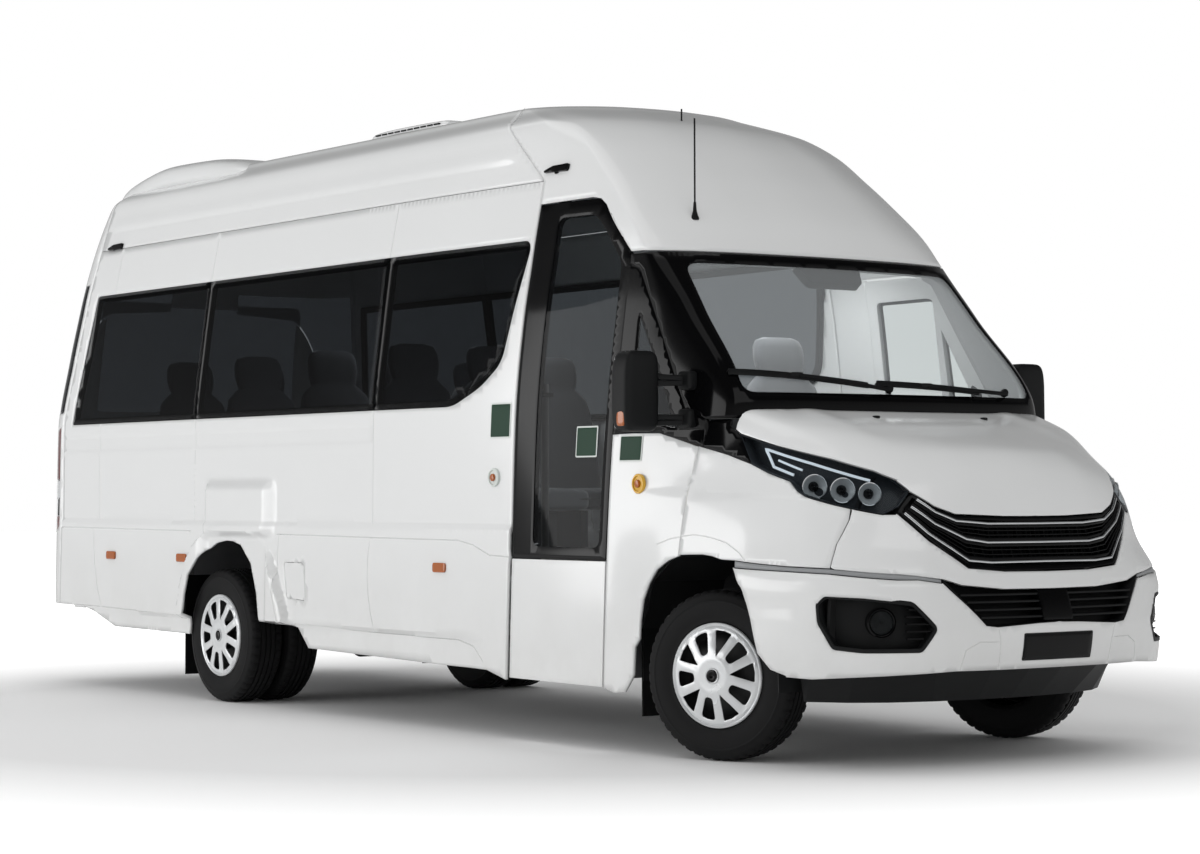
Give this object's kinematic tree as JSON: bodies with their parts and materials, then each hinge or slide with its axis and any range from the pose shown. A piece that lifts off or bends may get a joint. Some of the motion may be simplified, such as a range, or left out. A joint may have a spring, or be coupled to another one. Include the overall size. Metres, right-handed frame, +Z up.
{
  "type": "minibus",
  "caption": "Long-wheelbase minibus with steered front wheels, twin rear wheels, a swing-out entry door, a driver door, a bonnet, a boot lid and a furnished cabin.",
  "frame": {"origin": "middle of the footprint, on the ground under the tyres", "axes": "+X forward, +Y to the left of the driver, +Z up"},
  "size_m": [7.315, 2.41, 2.985],
  "materials": {
    "white_paint": "gloss",
    "clear_glass": "gloss",
    "dark_glass": "gloss",
    "black_gloss": "gloss",
    "tyre": "matt",
    "wheel_silver": "satin",
    "seat_fabric": "woven",
    "black_plastic": "fine grain",
    "lamp_clear": "gloss",
    "lamp_red": "gloss",
    "rubber": "matt",
    "floor_grey": "satin",
    "cast_iron": "as cast",
    "bare_metal": "satin",
    "black_steel": "satin"
  },
  "bodies": {
    "body": {"arch_liners": "black_plastic", "body_side_left": "white_paint", "body_side_right": "white_paint", "cab_side": "white_paint", "chassis_frame": "black_steel", "cowl": "black_plastic", "crash_rails": "black_steel", "dashboard": "black_plastic", "drive_shaft": "black_steel", "driver_seat": "seat_fabric", "engine": "cast_iron", "exhaust": "bare_metal", "floor_pan": "floor_grey", "front_axle": "cast_iron", "front_bumper": "white_paint", "front_carrier": "black_steel", "front_fenders": "white_paint", "fuel_tank": "black_steel", "grilles": "black_plastic", "headlamps": "lamp_clear", "leaf_springs": "black_steel", "mirror_right": "black_plastic", "mud_flaps": "rubber", "post_brackets": "black_steel", "rear_axle": "cast_iron", "rear_glass": "dark_glass", "rear_wall": "white_paint", "roof_cap": "white_paint", "roof_panel": "white_paint", "roof_units": "white_paint", "seat_frames": "black_steel", "seats": "seat_fabric", "side_windows": "dark_glass", "steering_wheel": "black_plastic", "tail_lamps": "lamp_red", "under_tray": "black_plastic", "windscreen": "clear_glass", "windscreen_frame": "black_gloss", "wipers": "black_plastic"},
    "steer_right": {"knuckle_right": "cast_iron"},
    "steer_left": {"knuckle_left": "cast_iron"},
    "wheel_front_right": {"front_tyre_right": "tyre", "front_rim_right": "wheel_silver"},
    "wheel_front_left": {"front_tyre_left": "tyre", "front_rim_left": "wheel_silver"},
    "wheel_rear_right": {"rear_tyres_right": "tyre", "rear_rims_right": "wheel_silver"},
    "wheel_rear_left": {"rear_tyres_left": "tyre", "rear_rims_left": "wheel_silver"},
    "driver_door": {"driver_door": "white_paint", "driver_door_glass": "dark_glass", "mirror_left": "black_plastic"},
    "door_arm": {"door_arm": "black_steel"},
    "entry_door": {"entry_door": "white_paint", "entry_door_glass": "dark_glass", "door_pivots": "black_steel"},
    "bonnet": {"bonnet": "white_paint"},
    "boot_lid": {"boot_lid": "white_paint"},
    "fuel_flap": {"fuel_flap": "white_paint"}
  },
  "joints": [
    {"name": "steer_right", "type": "hinge", "parent": "body", "child": "steer_right", "pos_m": [2.5675, -0.76, 0.349], "axis": [0, 0, 1], "range_deg": [-57, 19]},
    {"name": "steer_left", "type": "hinge", "parent": "body", "child": "steer_left", "pos_m": [2.5675, 0.76, 0.349], "axis": [0, 0, 1], "range_deg": [-57, 19]},
    {"name": "spin_front_right", "type": "hinge", "parent": "steer_right", "child": "wheel_front_right", "pos_m": [2.58915, -0.82288, 0.349], "axis": [-0.3256, 0.9455, 0], "continuous": true},
    {"name": "spin_front_left", "type": "hinge", "parent": "steer_left", "child": "wheel_front_left", "pos_m": [2.54585, 0.82288, 0.349], "axis": [-0.3256, 0.9455, 0], "continuous": true},
    {"name": "spin_rear_right", "type": "hinge", "parent": "body", "child": "wheel_rear_right", "pos_m": [-1.4825, -0.78, 0.349], "axis": [0, 1, 0], "continuous": true},
    {"name": "spin_rear_left", "type": "hinge", "parent": "body", "child": "wheel_rear_left", "pos_m": [-1.4825, 0.78, 0.349], "axis": [0, 1, 0], "continuous": true},
    {"name": "driver_door_hinge", "type": "hinge", "parent": "body", "child": "driver_door", "pos_m": [2.4965, 0.996, 1], "axis": [0, 0, -1], "range_deg": [0, 68]},
    {"name": "door_arm_swing", "type": "hinge", "parent": "body", "child": "door_arm", "pos_m": [1.3275, -0.86, 0.7], "axis": [0, 0, -1], "range_deg": [0, 150]},
    {"name": "entry_door_pivot", "type": "hinge", "parent": "door_arm", "child": "entry_door", "pos_m": [1.7655, -0.86, 0.7], "axis": [0, 0, 1], "range_deg": [0, 150]},
    {"name": "bonnet_hinge", "type": "hinge", "parent": "body", "child": "bonnet", "pos_m": [2.7155, 0, 1.404], "axis": [0, -1, 0], "range_deg": [0, 50]},
    {"name": "boot_lid_hinge", "type": "hinge", "parent": "body", "child": "boot_lid", "pos_m": [-3.6445, 0, 1.422], "axis": [0, 1, 0], "range_deg": [0, 85]},
    {"name": "fuel_flap_hinge", "type": "hinge", "parent": "body", "child": "fuel_flap", "pos_m": [-0.4835, -1.009, 0.65], "axis": [0, 0, 1], "range_deg": [0, 110]}
  ],
  "couplings": [
    {"joint": "steer_left", "follows": "steer_right", "ratio": 1},
    {"joint": "entry_door_pivot", "follows": "door_arm_swing", "ratio": 1}
  ]
}
